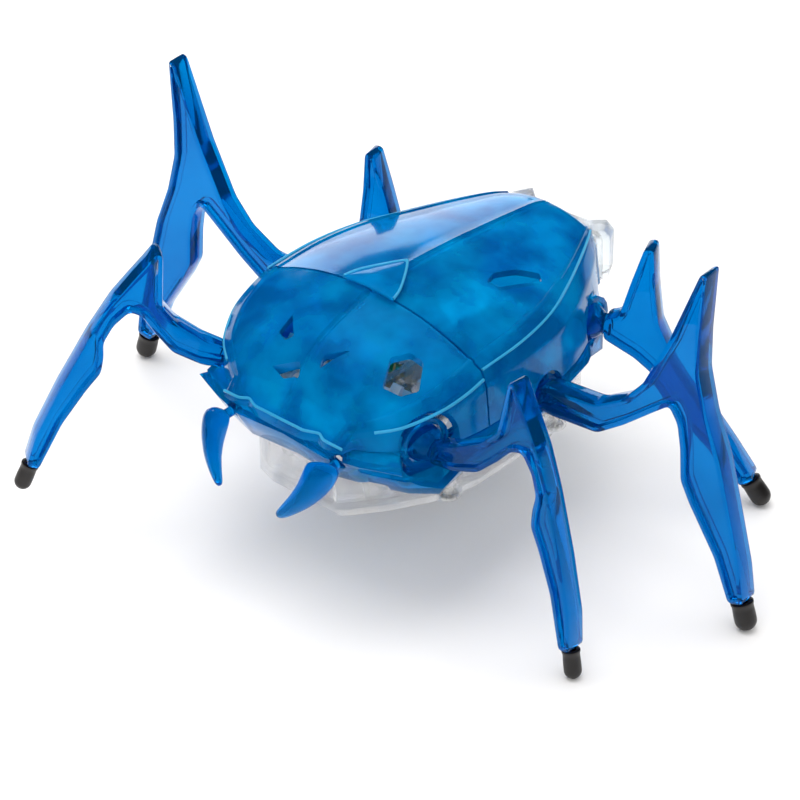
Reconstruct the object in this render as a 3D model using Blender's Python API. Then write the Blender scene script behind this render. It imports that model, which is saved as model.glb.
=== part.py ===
"""A small six-legged walking robot in translucent plastic, modelled piece by piece.

X is the robot's left, -Y is forward, +Z is up, and the feet stand on z = 0. The sizes below are in
millimetres, and so is every mesh: the empty that holds them all brings them to metres. One cross axle
turns three crank gears on each side. Each crank carries a slanted pin, and the pin's axis passes through
the ball joint of one leg, so a leg swings round in a cone like an oar, without spinning.
"""

import math

import bmesh
import bpy
from mathutils import Matrix, Vector
from mathutils.geometry import tessellate_polygon

MM = 0.001
GAP = 0.3

# Where the middle of the robot's length lies, measured from the cross axle
BODY_Y = 8.2

# Legs: ball joint, how far the leg points forward of sideways, and for each side how far the leg stands
# swung forward and lifted from there. A pair of legs has one pin tilt, so both legs lean as far.
FRONT = {"ball": (16.2, -20.6, 25.0), "toe_in": 26.5, 1: (-27.0, -7.0), -1: (27.0, 7.0)}
MIDDLE = {"ball": (17.0, 0.0, 24.0), "toe_in": 1.0, 1: (-4.0, 0.0), -1: (4.0, 0.0)}
REAR = {"ball": (14.8, 16.0, 26.0), "toe_in": -5.0, 1: (-19.0, -2.0), -1: (19.0, -2.0)}
BALL_R = 2.7
NECK_R = 1.4
SOCKET_R = 1.5
PIN_R = 0.75
BOOT_R = 1.55
BOOT_LENGTH = 4.4
PEG_R = 0.7
LUG_R = 3.75
LUG_THICK = 1.4

# Leg outlines seen square on: distance out from the ball, height above it, half the thickness there.
# They run from the neck over the arm to the spike, and down the shin to the boot and back.
FRONT_OUTLINE = [
    (2.6, 1.5, 1.5), (9.4, 5.6, 1.8), (12.6, 8.4, 1.7), (13.1, 17.4, 1.2), (14.2, 17.8, 1.2),
    (17.1, 13.6, 1.4), (19.4, 10.2, 1.6), (22.2, 4.4, 1.6), (25.8, -4.2, 1.5), (28.6, -12.0, 1.4),
]
FRONT_UNDERSIDE = [
    (25.0, -10.0, 1.4), (21.8, -3.6, 1.5), (19.9, -0.8, 1.6), (19.7, 1.2, 1.6), (20.0, 4.0, 1.6),
    (17.0, 8.6, 1.6), (14.8, 7.4, 1.7), (10.6, 1.8, 1.8), (2.6, -1.4, 1.5),
]
MIDDLE_OUTLINE = [
    (2.6, 1.8, 1.5), (5.0, 2.5, 2.0), (12.4, 3.0, 2.0), (17.0, 5.8, 1.8), (20.0, 9.2, 1.7),
    (23.8, 17.4, 1.5), (28.2, 29.4, 1.1), (29.3, 29.4, 1.1), (28.8, 20.0, 1.4), (28.9, 14.2, 1.6),
    (30.4, 8.2, 1.7), (32.8, 2.0, 1.7), (35.4, -8.0, 1.5), (36.9, -14.0, 1.4),
]
MIDDLE_UNDERSIDE = [
    (32.6, -13.4, 1.4), (28.0, -5.8, 1.5), (26.5, -3.0, 1.6), (26.6, 1.6, 1.7), (25.2, 5.0, 1.7),
    (21.8, 5.2, 1.7), (17.2, 1.8, 1.8), (13.0, -1.6, 2.0), (5.0, -2.0, 2.0), (2.6, -1.5, 1.5),
]
REAR_OUTLINE = [
    (2.6, 1.6, 1.5), (4.6, 2.2, 1.7), (7.4, 14.2, 1.3), (8.9, 14.2, 1.3), (9.4, 8.0, 1.4),
    (10.4, 2.4, 1.6), (13.2, -3.2, 1.6), (18.6, -10.6, 1.5), (22.4, -15.6, 1.4),
]
REAR_UNDERSIDE = [
    (19.4, -16.0, 1.4), (15.2, -12.2, 1.5), (13.0, -10.4, 1.6), (12.0, -8.4, 1.6), (7.2, -3.8, 1.7),
    (2.6, -1.6, 1.5),
]
# Distance out from the ball to the middle of the boot's round end
FRONT_FOOT = 29.6
MIDDLE_FOOT = 37.3
REAR_FOOT = 26.6

# Crank train: module and teeth, and the planes that its pieces lie in, measured out from the middle
GEAR_MODULE = 0.8
CRANK_TEETH = 12
FRONT_IDLER_TEETH = 15
REAR_IDLER_TEETH = 9
GEAR_INNER_X = 8.6
GEAR_OUTER_X = 10.2
DISC_OUTER_X = 11.4
PLATE_INNER_X = 7.0
PLATE_OUTER_X = 8.2
JOURNAL_R = 1.0
IDLER_PIN_R = 0.7

# Reduction from the motor to the cross axle
FINE_MODULE = 0.5
FINAL_TEETH = 20
PINION_TEETH = 8
WHEEL_TEETH = 20
FINAL_X = (4.6, 6.2)
WHEEL_X = (2.4, 4.0)
COMPOUND_ANGLE = 150.0
MOTOR_ANGLE = 195.0
MOTOR_R = 3.4
MOTOR_X = (-6.6, 1.8)
AXLE_R = 1.0

# Shells: y, half width and height at the side edge, height on the middle line, skirt half width
SHELL_THICK = 1.0
RIM_Z = 25.5
HEAD_STATIONS = [
    (-27.8, 12.2, 28.6, 31.6, 12.8), (-24.5, 16.2, 29.8, 34.4, 16.6), (-20.0, 18.6, 31.4, 36.4, 19.4),
    (-16.0, 19.4, 32.6, 37.6, 20.6), (-12.65, 19.5, 33.6, 38.3, 21.0),
]
WING_STATIONS = [
    (-12.35, 19.5, 33.7, 38.4, 21.0), (-4.0, 19.3, 34.0, 38.6, 21.2), (4.0, 17.8, 34.1, 38.2, 20.6),
    (11.0, 15.0, 34.1, 37.5, 18.4), (17.0, 12.2, 34.2, 36.9, 15.2), (22.0, 9.6, 34.2, 36.2, 11.9),
    (24.6, 8.0, 33.9, 35.4, 9.6),
]

# Angular windows through the shells, seen from above
WINDOW_Z = (28.5, 41)
HEAD_WINDOWS = [
    [(-4.6, -27.2), (-2.9, -26.9), (-0.5, -26.0), (0.2, -27.2)],
    [(2.6, -26.0), (2.1, -24.2), (4.9, -22.1)],
    [(-6.7, -23.8), (-6.8, -20.9), (-4.0, -23.7), (-4.7, -24.6)],
    [(11.6, -23.4), (9.9, -19.8), (11.5, -17.6), (13.6, -17.4), (15.6, -20.6), (14.2, -22.6)],
]
WING_WINDOWS = [
    [(9.4, 0.4), (8.7, 2.6), (9.8, 6.0), (11.9, 8.6), (13.2, 7.6), (12.2, 4.2), (11.2, 0.9)],
]
TAIL_Y = (25.4, 27.6, 30.6)

# Body outlines, left half, from the front to the back
FRAME_Z = (19.5, 24.0, 25.2)
FRAME_TUCK = 2.6
FRAME_WIDE = [
    (0, -30.4), (8, -31.0), (13, -29.6), (19, -27.2), (23.6, -23.4), (22.3, -16), (21.8, -8), (21.6, 2),
    (19.8, 10), (15.2, 19), (9.4, 25.2), (0, 26.6),
]
FRAME_TOP = [
    (0, -29), (8, -29), (12.9, -27.4), (17, -24.2), (19.8, -19.6), (20.9, -14), (21.2, -6), (20.8, 2),
    (18.9, 10), (14.3, 18.4), (9.2, 24.4), (0, 25.2),
]
FRAME_WALL = 1.3
JAW_PEG = (9.6, 23.4)
FRAME_WINDOW = [
    (0, -27.5), (12.7, -27.5), (12.7, 8), (12.7, 21.3), (0, 21.3),
]
TRAY_Z = (11.0, 19.2)
TRAY_OUTLINE = [
    (0, -28), (6.8, -28), (11, -22.5), (15, -15.5), (16.6, -9), (16.6, 8), (14.6, 15), (9, 21), (0, 22.5),
]
TRAY_TAPER = 0.93
TRAY_WALL = 1.1
TRAY_FLOOR = 1.2

# Battery bay, switch and screws
CELL_R = 5.8
CELL_Z = (12.5, 17.9)
CELL_Y = (-8.5, 4.0)
DOOR = ((-6.4, -15.6), (6.4, 14.0))
DOOR_SCREW_Y = 12.2
DOOR_HEAD_R = 1.2
SWITCH_Y = 17.0
SWITCH_TRAVEL = 1.5
SCREW_PLACES = ((14.2, -13.0), (14.2, 9.5))
SCREW_R = 0.8
SCREW_HEAD_R = 1.5

BLUE = (0.0, 0.16, 0.58)
CLEAR = (0.80, 0.84, 0.86)
WHITE = (0.86, 0.87, 0.85)
STEEL = (0.62, 0.62, 0.62)
BRASS = (0.75, 0.58, 0.25)
RUBBER = (0.02, 0.015, 0.02)
GREEN = (0.03, 0.20, 0.09)
BLACK = (0.03, 0.03, 0.03)
SIDES = (("left", 1), ("right", -1))


def clear_scene():
    """Removes every object, so that a second run starts clean."""
    for obj in list(bpy.data.objects):
        bpy.data.objects.remove(obj, do_unlink=True)


def material(name, colour, roughness, metallic=0.0, alpha=1.0):
    """One plain Principled material."""
    mat = bpy.data.materials.new(name)
    mat.use_nodes = True
    shader = mat.node_tree.nodes["Principled BSDF"]
    shader.inputs["Base Color"].default_value = (*colour, 1.0)
    shader.inputs["Roughness"].default_value = roughness
    shader.inputs["Metallic"].default_value = metallic
    shader.inputs["Alpha"].default_value = alpha
    return mat


def finish(bm, name, colour, roughness=0.3, metallic=0.0, alpha=1.0, origin=(0, 0, 0), smooth=False):
    """Turns a mesh in millimetres into a named object whose own origin is at the given point."""
    bmesh.ops.recalc_face_normals(bm, faces=bm.faces)
    if bm.calc_volume(signed=True) < 0:
        bmesh.ops.reverse_faces(bm, faces=bm.faces)
    mesh = bpy.data.meshes.new(name)
    bmesh.ops.translate(bm, vec=-Vector(origin), verts=bm.verts)
    bm.to_mesh(mesh)
    bm.free()
    if smooth:
        mesh.shade_smooth()
        mesh.set_sharp_from_angle(angle=math.radians(35))
    obj = bpy.data.objects.new(name, mesh)
    obj.location = origin
    obj.data.materials.append(material(name, colour, roughness, metallic, alpha))
    obj.parent = bpy.data.objects["robot"]
    bpy.context.scene.collection.objects.link(obj)
    return obj


def tool(bm, name):
    """A hidden solid that is joined to, or cut from, another."""
    obj = finish(bm, name, BLACK)
    obj.hide_render = True
    obj.display_type = "WIRE"
    return obj


def combine(obj, other, operation):
    """Adds an exact Boolean that joins or cuts the hidden solid."""
    modifier = obj.modifiers.new(other.name, "BOOLEAN")
    modifier.operation = operation
    modifier.object = other
    modifier.solver = "EXACT"


def join(obj, bm):
    """Joins one more solid to the object."""
    combine(obj, tool(bm, f"tool_{obj.name}_{len(obj.modifiers)}"), "UNION")


def cut(obj, bm):
    """Cuts one more solid from the object."""
    combine(obj, tool(bm, f"tool_{obj.name}_{len(obj.modifiers)}"), "DIFFERENCE")


def box(low, high):
    """An upright box between two corners."""
    bm = bmesh.new()
    bmesh.ops.create_cube(bm, size=1.0)
    low, high = Vector(low), Vector(high)
    bmesh.ops.transform(bm, matrix=Matrix.Diagonal((*(high - low), 1.0)), verts=bm.verts)
    bmesh.ops.translate(bm, vec=(low + high) / 2, verts=bm.verts)
    return bm


def rod(start, end, radius, end_radius=None, sides=14):
    """A cylinder or a cone between two points."""
    start, end = Vector(start), Vector(end)
    along = end - start
    bm = bmesh.new()
    bmesh.ops.create_cone(
        bm, cap_ends=True, segments=sides, radius1=radius,
        radius2=radius if end_radius is None else end_radius, depth=along.length,
    )
    turn = along.to_track_quat("Z", "Y").to_matrix().to_4x4()
    bm.transform(Matrix.Translation((start + end) / 2) @ turn)
    return bm


def ball(centre, radius):
    """A round ball."""
    bm = bmesh.new()
    bmesh.ops.create_uvsphere(bm, u_segments=14, v_segments=8, radius=radius)
    bmesh.ops.translate(bm, vec=centre, verts=bm.verts)
    return bm


def whole(half):
    """A half outline and its mirror image, as one closed outline."""
    inner = [point for point in reversed(half) if point[0] > 0]
    return list(half) + [(-x, y) for x, y in inner]


def prism(outline, low, high):
    """An outline in the floor plane, raised between two heights."""
    return loft([[(x, y, low) for x, y in outline], [(x, y, high) for x, y in outline]])


def loft(rings):
    """A closed solid through rings that have the same number of points."""
    bm = bmesh.new()
    loops = [[bm.verts.new(point) for point in ring] for ring in rings]
    count = len(loops[0])
    for lower, upper in zip(loops, loops[1:]):
        for i in range(count):
            j = (i + 1) % count
            bm.faces.new((lower[i], lower[j], upper[j], upper[i]))
    bm.faces.new(list(reversed(loops[0])))
    bm.faces.new(loops[-1])
    bmesh.ops.triangulate(bm, faces=[face for face in bm.faces if len(face.verts) == 4])
    return bm


def shrink(outline, distance):
    """A closed outline moved inwards by a distance."""
    count = len(outline)
    moved = []
    for i in range(count):
        before = Vector(outline[i]) - Vector(outline[i - 1])
        after = Vector(outline[(i + 1) % count]) - Vector(outline[i])
        normals = [Vector((-side.y, side.x)).normalized() for side in (before, after)]
        middle = (normals[0] + normals[1]).normalized()
        moved.append(tuple(Vector(outline[i]) + middle * distance / max(middle.dot(normals[0]), 0.4)))
    return moved


def polar(centre, radius, degrees):
    """A point at an angle round a centre, in the plane across the axles."""
    angle = math.radians(degrees)
    return (centre[0] + radius * math.cos(angle), centre[1] + radius * math.sin(angle))


def direction(side, swing, lift):
    """Out from a ball joint, swung forward and lifted by angles in degrees."""
    swing, lift = math.radians(swing), math.radians(lift)
    flat = math.cos(lift)
    return Vector((side * flat * math.cos(swing), -flat * math.sin(swing), math.sin(lift)))


def rest_frame(leg, side):
    """The leg's own axes at rest: along the slanted pin, out in the blade's plane, and up."""
    swing, lift = leg[side]
    pin = direction(side, swing, lift)
    turn = Matrix.Rotation(math.radians(-swing), 3, "Z") @ Matrix.Rotation(math.radians(-lift), 3, "Y")
    mirror = Matrix.Diagonal((side, 1, 1))
    toe = math.radians(leg["toe_in"])
    out = mirror @ turn @ Vector((math.cos(toe), -math.sin(toe), 0))
    up = mirror @ turn @ Vector((0, 0, 1))
    return pin, out, up


def ball_centre(leg, side):
    """The centre of the leg's ball joint."""
    x, y, z = leg["ball"]
    return Vector((side * x, y, z))


def foot_drop(leg, reach):
    """How far below the ball the boot's round end lies, so that the left leg stands on the ground."""
    _, out, up = rest_frame(leg, 1)
    return (BOOT_R - leg["ball"][2] - reach * out.z) / up.z


def leg_blade(outline, centre, out, up, side):
    """The flat blade of a leg: its outline, thick where it carries load and thin at its tips."""
    across = out.cross(up) * side
    bm = bmesh.new()
    near, far = [
        [bm.verts.new(centre + out * r + up * z + across * half * sign) for r, z, half in outline]
        for sign in (-1, 1)
    ]
    for a, b, c in tessellate_polygon([[Vector((r, z, 0)) for r, z, _ in outline]]):
        bm.faces.new((near[a], near[b], near[c]))
        bm.faces.new((far[c], far[b], far[a]))
    for i in range(len(outline)):
        j = (i + 1) % len(outline)
        bm.faces.new((near[i], near[j], far[j]))
        bm.faces.new((near[i], far[j], far[i]))
    return bm


def make_leg(name, leg, side, top, under, reach):
    """One leg: socket for the crank pin, ball, arm, spike and shin, with a peg for its boot."""
    centre = ball_centre(leg, side)
    pin, out, up = rest_frame(leg, side)
    drop = foot_drop(leg, reach)
    last, first = Vector(top[-1][:2]), Vector(under[0][:2])
    end = Vector((reach, drop))
    along = (end - (last + first) / 2).normalized()
    square = Vector((-along.y, along.x))
    ankle = end - along * (BOOT_LENGTH - BOOT_R + GAP)
    ankle_points = [(*(ankle + square * 1.2), 1.2), (*(ankle - square * 1.2), 1.2)]
    outline = top + ankle_points + under
    obj = finish(leg_blade(outline, centre, out, up, side), name, BLUE, 0.12, alpha=0.8, origin=centre)
    join(obj, ball(centre, BALL_R))
    socket_end = centre - pin * socket_length(leg)
    join(obj, rod(centre, socket_end, SOCKET_R))
    cut(obj, rod(centre - pin * 1.2, socket_end - pin, PIN_R + GAP, sides=12))
    join(obj, rod(centre, centre + out * 3.4 + up * 0.2, NECK_R, sides=12))
    place = [centre + out * point.x + up * point.y for point in (ankle, end)]
    join(obj, rod(place[0] - (place[1] - place[0]) * 0.2, place[0].lerp(place[1], 0.6), PEG_R, sides=10))
    return obj


def socket_length(leg):
    """How far the leg's inner end reaches from its ball towards the crank disc."""
    tilt = pin_tilt(leg)
    to_disc = (leg["ball"][0] - DISC_OUTER_X) / math.cos(tilt)
    return to_disc - GAP - SOCKET_R * math.tan(tilt)


def pin_tilt(leg):
    """The angle between a crank pin and its gear's axis."""
    swing, lift = leg[1]
    return math.acos(math.cos(math.radians(swing)) * math.cos(math.radians(lift)))


def make_boot(name, leg, side, top, under, reach):
    """A round-ended rubber boot, with a blind hole for the leg's peg."""
    centre = ball_centre(leg, side)
    _, out, up = rest_frame(leg, side)
    end_flat = Vector((reach, foot_drop(leg, reach)))
    last, first = Vector(top[-1][:2]), Vector(under[0][:2])
    along_flat = (end_flat - (last + first) / 2).normalized()
    end = centre + out * end_flat.x + up * end_flat.y
    along = out * along_flat.x + up * along_flat.y
    round_end = [(BOOT_R * math.sin(math.radians(a)), -BOOT_R * math.cos(math.radians(a)))
                 for a in (0, 25, 50, 75)]
    length = BOOT_LENGTH - BOOT_R
    hole = length - (length + GAP) * 0.6 - GAP
    profile = round_end + [(BOOT_R, 0.3), (1.45, length - 0.4), (1.25, length),
                           (PEG_R + GAP, length), (PEG_R + GAP, length - 2.4), (0, length - 2.6 - hole * 0.2)]
    bm = lathe(profile, 12)
    turn = (-along).to_track_quat("Z", "Y").to_matrix().to_4x4()
    bm.transform(Matrix.Translation(end) @ turn)
    return finish(bm, name, RUBBER, 0.5, origin=centre, smooth=True)


def lathe(profile, steps):
    """A profile of radius and height, turned round the upright axis. Its ends lie on the axis."""
    bm = bmesh.new()
    rings = []
    for radius, height in profile:
        if radius < 0.001:
            rings.append([bm.verts.new((0, 0, height))])
            continue
        angles = [math.tau * i / steps for i in range(steps)]
        rings.append([bm.verts.new((radius * math.cos(a), radius * math.sin(a), height)) for a in angles])
    for low, high in zip(rings, rings[1:]):
        for i in range(steps):
            j = (i + 1) % steps
            if len(low) == 1:
                bm.faces.new((low[0], high[j], high[i]))
            elif len(high) == 1:
                bm.faces.new((low[i], low[j], high[0]))
            else:
                bm.faces.new((low[i], low[j], high[j], high[i]))
    return bm


def gear(centre, teeth, module, low_x, high_x, phase):
    """A spur gear on an axle along X, with a tooth centred on the phase angle."""
    pitch = teeth * module / 2
    step = math.tau / teeth
    corners = ((-0.29, pitch - 1.15 * module), (-0.10, pitch + 0.8 * module),
               (0.10, pitch + 0.8 * module), (0.29, pitch - 1.15 * module))
    ring = []
    for tooth in range(teeth):
        for turn, radius in corners:
            angle = phase + (tooth + turn) * step
            ring.append((centre[0] + radius * math.cos(angle), centre[1] + radius * math.sin(angle)))
    return loft([[(low_x, y, z) for y, z in ring], [(high_x, y, z) for y, z in ring]])


def meshing_phase(centre, teeth, phase, other_centre, other_teeth):
    """The phase that puts the other gear's tooth gap on this gear's tooth."""
    angle = math.atan2(other_centre[1] - centre[1], other_centre[0] - centre[0])
    pitches = (angle - phase) * teeth / math.tau
    return angle + math.pi + (pitches - 0.5) * math.tau / other_teeth


def idler_centre(start, end, reach, below):
    """The place of a gear that meshes with two others at the same distance."""
    start, end = Vector(start), Vector(end)
    half = (end - start) / 2
    normal = Vector((half.y, -half.x)).normalized() * below
    return tuple(start + half + normal * math.sqrt(reach ** 2 - half.length ** 2))


def axle_place(leg):
    """Where the leg's crank turns, in the plane across the axles."""
    return leg["ball"][1:]


def crank_train(side_name, side):
    """The three crank gears of one side, the two idlers between them, and the idlers' pins."""
    idler_reach = {teeth: (CRANK_TEETH + teeth) * GEAR_MODULE / 2
                   for teeth in (FRONT_IDLER_TEETH, REAR_IDLER_TEETH)}
    middle = axle_place(MIDDLE)
    make_crank(f"crank_middle_{side_name}", MIDDLE, side, 0.0)
    for where, leg, teeth in (("front", FRONT, FRONT_IDLER_TEETH), ("rear", REAR, REAR_IDLER_TEETH)):
        below = -1 if where == "front" else 1
        place = idler_centre(middle, axle_place(leg), idler_reach[teeth], below)
        idler_phase = meshing_phase(middle, CRANK_TEETH, 0.0, place, teeth)
        make_idler(f"idler_{where}_{side_name}", place, teeth, idler_phase, side)
        phase = meshing_phase(place, teeth, idler_phase, axle_place(leg), CRANK_TEETH)
        make_crank(f"crank_{where}_{side_name}", leg, side, phase)
        pin = rod((side * (PLATE_INNER_X - 0.4), *place), (side * (GEAR_OUTER_X + 0.1), *place),
                  IDLER_PIN_R, sides=12)
        join_head = rod((side * (GEAR_OUTER_X + 0.35), *place), (side * (GEAR_OUTER_X + 0.9), *place), 1.3)
        obj = finish(pin, f"idler_pin_{where}_{side_name}", STEEL, 0.3, 1.0)
        join(obj, rod((side * GEAR_OUTER_X, *place), (side * (GEAR_OUTER_X + 0.5), *place), IDLER_PIN_R,
                      sides=12))
        join(obj, join_head)


def make_idler(name, place, teeth, phase, side):
    """A plain gear that turns on a fixed pin."""
    low, high = sorted((side * GEAR_INNER_X, side * GEAR_OUTER_X))
    obj = finish(gear(place, teeth, GEAR_MODULE, low, high, phase), name, WHITE, 0.4,
                 origin=(side * GEAR_INNER_X, *place))
    cut(obj, rod((low - 1, *place), (high + 1, *place), IDLER_PIN_R + GAP, sides=12))


def make_crank(name, leg, side, phase):
    """A crank gear: teeth, a disc that carries the slanted pin, and a journal or a bore for the axle."""
    place = axle_place(leg)
    centre = ball_centre(leg, side)
    pin, _, _ = rest_frame(leg, side)
    low, high = sorted((side * GEAR_INNER_X, side * GEAR_OUTER_X))
    obj = finish(gear(place, CRANK_TEETH, GEAR_MODULE, low, high, phase), name, WHITE, 0.4,
                 origin=(side * GEAR_INNER_X, *place))
    throw = (leg["ball"][0] - DISC_OUTER_X) * math.tan(pin_tilt(leg))
    disc_r = max(throw + PIN_R + 0.5, 2.4)
    join(obj, rod((side * (GEAR_OUTER_X - 0.6), *place), (side * (GEAR_OUTER_X + 0.45), *place), 2.2))
    join(obj, rod((side * (GEAR_OUTER_X + 0.4), *place), (side * DISC_OUTER_X, *place), disc_r, sides=16))
    to_disc = (leg["ball"][0] - DISC_OUTER_X) / math.cos(pin_tilt(leg))
    join(obj, rod(centre - pin * 1.6, centre - pin * (to_disc + 0.5), PIN_R, sides=12))
    if leg is MIDDLE:
        cut(obj, rod((side * (GEAR_INNER_X - 1), *place), (side * (GEAR_OUTER_X + 0.2), *place),
                     AXLE_R + GAP))
    else:
        join(obj, rod((side * (PLATE_INNER_X - 0.3), *place), (side * (GEAR_INNER_X + 0.5), *place),
                      JOURNAL_R))


def make_drive():
    """Cross axle, final gear, compound gear with its pin, and the motor with its pinion."""
    axle = axle_place(MIDDLE)
    axle_end = GEAR_OUTER_X - 0.1
    finish(rod((-axle_end, *axle), (axle_end, *axle), AXLE_R), "cross_axle", STEEL, 0.25, 1.0,
           origin=(0, *axle), smooth=True)
    final = finish(gear(axle, FINAL_TEETH, FINE_MODULE, *FINAL_X, 0.0), "final_gear", WHITE, 0.4,
                   origin=(0, *axle))
    cut(final, rod((FINAL_X[0] - 1, *axle), (FINAL_X[1] + 1, *axle), AXLE_R + GAP))
    small_r = PINION_TEETH * FINE_MODULE / 2
    compound = polar(axle, (FINAL_TEETH + PINION_TEETH) * FINE_MODULE / 2, COMPOUND_ANGLE)
    motor = polar(compound, WHEEL_TEETH * FINE_MODULE / 2 + small_r, MOTOR_ANGLE)
    phase = meshing_phase(axle, FINAL_TEETH, 0.0, compound, PINION_TEETH)
    wheel = finish(gear(compound, PINION_TEETH, FINE_MODULE, WHEEL_X[1] - 0.2, FINAL_X[1], phase),
                   "compound_gear", WHITE, 0.4, origin=(0, *compound))
    join(wheel, gear(compound, WHEEL_TEETH, FINE_MODULE, *WHEEL_X, phase))
    cut(wheel, rod((WHEEL_X[0] - 1, *compound), (FINAL_X[1] + 1, *compound), 0.95, sides=12))
    finish(rod((WHEEL_X[0] - 0.6, *compound), (PLATE_OUTER_X, *compound), 0.65, sides=12),
           "compound_pin", STEEL, 0.25, 1.0)
    pinion_phase = meshing_phase(compound, WHEEL_TEETH, phase, motor, PINION_TEETH)
    pinion = finish(gear(motor, PINION_TEETH, FINE_MODULE, *WHEEL_X, pinion_phase), "motor_pinion", BRASS,
                    0.3, 1.0, origin=(0, *motor))
    cut(pinion, rod((WHEEL_X[0] - 1, *motor), (WHEEL_X[1] + 1, *motor), 0.6, sides=10))
    join_shaft = rod((MOTOR_X[1] - 0.5, *motor), (WHEEL_X[1] + 0.3, *motor), 0.3, sides=8)
    can = finish(rod((MOTOR_X[0] + 1.6, *motor), (MOTOR_X[1], *motor), MOTOR_R, sides=20), "motor_can",
                 STEEL, 0.25, 1.0, smooth=True)
    join(can, join_shaft)
    finish(rod((MOTOR_X[0], *motor), (MOTOR_X[0] + 1.3, *motor), MOTOR_R - 0.1, sides=20),
           "motor_end_cap", WHITE, 0.4, smooth=True)


def make_gear_plates():
    """Two upright plates that carry the axle, the crank journals, the idler pins and the compound pin."""
    front_reach = (CRANK_TEETH + FRONT_IDLER_TEETH) * GEAR_MODULE / 2
    rear_reach = (CRANK_TEETH + REAR_IDLER_TEETH) * GEAR_MODULE / 2
    middle = axle_place(MIDDLE)
    compound = polar(middle, (FINAL_TEETH + PINION_TEETH) * FINE_MODULE / 2, COMPOUND_ANGLE)
    outline = [(-24.0, 22.0), (-22.0, 12.6), (10.4, 12.6), (10.6, 14.6), (16.0, 15.0), (19.0, 22.0),
               (19.0, 29.0), (-4.0, 30.0), (-18.0, 30.0), (-24.0, 27.6)]
    for name, side in SIDES:
        rings = [[(side * x, y, z) for y, z in outline] for x in (PLATE_INNER_X, PLATE_OUTER_X)]
        plate = finish(loft(rings), f"gear_plate_{name}", CLEAR, 0.15, alpha=0.4)
        holes = [(axle_place(FRONT), JOURNAL_R), (middle, AXLE_R), (axle_place(REAR), JOURNAL_R)]
        holes.append((idler_centre(middle, axle_place(FRONT), front_reach, -1), IDLER_PIN_R))
        holes.append((idler_centre(middle, axle_place(REAR), rear_reach, 1), IDLER_PIN_R))
        if side > 0:
            holes.append((compound, 0.65))
        for place, radius in holes:
            cut(plate, rod((side * (PLATE_INNER_X - 1), *place), (side * (PLATE_OUTER_X + 1), *place),
                           radius + GAP, sides=14))


def shell_grid(rows):
    """An open sheet through rows of points."""
    bm = bmesh.new()
    grid = [[bm.verts.new(point) for point in row] for row in rows]
    for near, far in zip(grid, grid[1:]):
        for i in range(len(near) - 1):
            bm.faces.new((near[i], near[i + 1], far[i + 1], far[i]))
    return bm


def shell_row(y, half_width, edge_z, middle_z, skirt, rim_z=RIM_Z):
    """Points across a shell, from its right rim over the ridge to its left rim."""
    half = [(half_width * t, middle_z - (middle_z - edge_z) * t ** 2.0) for t in (0.0, 0.35, 0.7, 1.0)]
    half.append((half_width + (skirt - half_width) * 0.35, edge_z - (edge_z - rim_z) * 0.22))
    half.append((skirt, rim_z))
    left = [(x, y, z) for x, z in half]
    right = [(-x, y, z) for x, z in reversed(half[1:])]
    return right + left


def thicken(obj):
    """Gives an open shell its wall, grown inwards."""
    modifier = obj.modifiers.new("wall", "SOLIDIFY")
    modifier.thickness = SHELL_THICK
    modifier.offset = -1.0
    modifier.use_even_offset = False


def port(leg, side, start=1.7, end=10.0):
    """The cone that a leg's arm sweeps where it leaves the body."""
    centre = ball_centre(leg, side)
    rise = 17.0 if leg is FRONT else 4.0
    axis = direction(side, leg["toe_in"], rise)
    spread = math.tan(pin_tilt(leg) + math.radians(2.0))
    return rod(centre + axis * start, centre + axis * end, 3.0 + start * spread, 3.2 + end * spread, sides=14)


def lug_disc(leg, side, clearance=0.0):
    """The round plate that holds a leg's ball, or the room it needs."""
    centre = ball_centre(leg, side)
    half = direction(side, leg["toe_in"] / 2, 0) * (LUG_THICK / 2 + clearance)
    return rod(centre - half, centre + half, LUG_R + clearance, sides=16)


def ball_room(leg, side):
    """The straight passage that a ball needs on both sides of its lug."""
    centre = ball_centre(leg, side)
    out = direction(side, leg["toe_in"], 0)
    return rod(centre - out * 3.2, centre + out * 3.4, BALL_R + 2 * GAP, sides=14)


def cut_leg_opening(shell, leg, side):
    """Cuts a shell free of a leg's ball, its lug and its swinging arm."""
    cut(shell, ball_room(leg, side))
    cut(shell, port(leg, side))
    cut(shell, lug_disc(leg, side, GAP))


def cut_windows(shell, windows):
    """Cuts angular windows straight down through a shell."""
    for outline in windows:
        cut(shell, prism(outline, *WINDOW_Z))


def make_shells():
    """Head shield, wing covers, the plate between them, and the clear tail."""
    first = HEAD_STATIONS[0]
    front = [(x * 0.96, y - 1.6, RIM_Z + 0.2) for x, y, _ in shell_row(*first)]
    head = finish(shell_grid([front] + [shell_row(*row) for row in HEAD_STATIONS]), "head_shield", BLUE,
                  0.08, alpha=0.7)
    thicken(head)
    rows = [shell_row(*row) for row in WING_STATIONS]
    rows.append([(x * 0.97, y + 0.7, RIM_Z) for x, y, _ in rows[-1]])
    wings = finish(shell_grid(rows), "wing_covers", BLUE, 0.08, alpha=0.7)
    thicken(wings)
    for _, side in SIDES:
        cut_leg_opening(head, FRONT, side)
        cut_leg_opening(wings, MIDDLE, side)
        cut_leg_opening(wings, REAR, side)
    cut_windows(head, HEAD_WINDOWS)
    cut_windows(wings, WING_WINDOWS)
    plate = [[(-4.6, -13.3, 38.55), (0, -13.3, 38.85), (4.6, -13.3, 38.55)],
             [(-3.6, -10.6, 38.8), (0, -10.6, 39.0), (3.6, -10.6, 38.8)],
             [(-0.5, -5.6, 39.1), (0, -5.6, 39.15), (0.5, -5.6, 39.1)]]
    top = shell_grid(plate)
    scutellum = finish(top, "shoulder_plate", BLUE, 0.08, alpha=0.7)
    wall = scutellum.modifiers.new("wall", "SOLIDIFY")
    wall.thickness = 0.5
    wall.offset = 1.0
    make_tail()


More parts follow.
